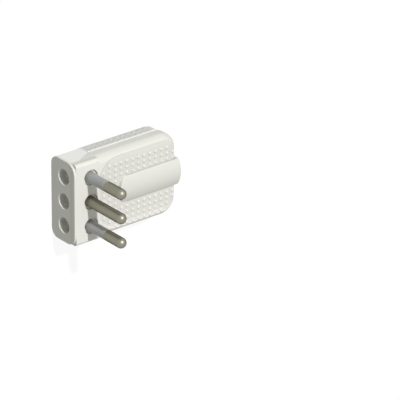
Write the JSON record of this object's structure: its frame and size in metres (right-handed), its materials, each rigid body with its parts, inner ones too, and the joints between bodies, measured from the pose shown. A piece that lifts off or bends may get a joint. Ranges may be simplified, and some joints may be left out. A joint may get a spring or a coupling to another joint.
{
  "type": "flat angled plug with a pass-through socket end",
  "caption": "Flat white side-entry plug: round pins in a row on its front, matching entries in the narrow end face, cord outlet opposite.",
  "frame": {"origin": "on the flat back, under the middle of the plug's box", "axes": "+X from the socket end to the cord outlet, +Y along the row of pins, +Z along the pins, away from the back"},
  "size_m": [0.0482, 0.0322, 0.0325],
  "materials": {
    "housing": "white moulded polyamide",
    "insert": "white moulded insert",
    "pin_metal": "nickel plated, bright",
    "pin_sleeve": "grey moulded polyamide",
    "contact_metal": "bare stamped brass",
    "screw_steel": "zinc plated",
    "clamp_plastic": "white moulded"
  },
  "bodies": {
    "root": {"back_cover": "housing", "cord_clamp": "clamp_plastic", "earth_contact_strip": "contact_metal", "earth_pin": "pin_metal", "earth_socket_contact": "contact_metal", "earth_terminal": "contact_metal", "earth_terminal_screw": "screw_steel", "front_cover": "housing", "lower_clamp_screw": "screw_steel", "lower_contact_strip": "contact_metal", "lower_cover_screw": "screw_steel", "lower_pin": "pin_metal", "lower_pin_sleeve": "pin_sleeve", "lower_socket_contact": "contact_metal", "lower_terminal": "contact_metal", "lower_terminal_screw": "screw_steel", "socket_block": "insert", "upper_clamp_screw": "screw_steel", "upper_contact_strip": "contact_metal", "upper_cover_screw": "screw_steel", "upper_pin": "pin_metal", "upper_pin_sleeve": "pin_sleeve", "upper_socket_contact": "contact_metal", "upper_terminal": "contact_metal", "upper_terminal_screw": "screw_steel"}
  },
  "joints": []
}
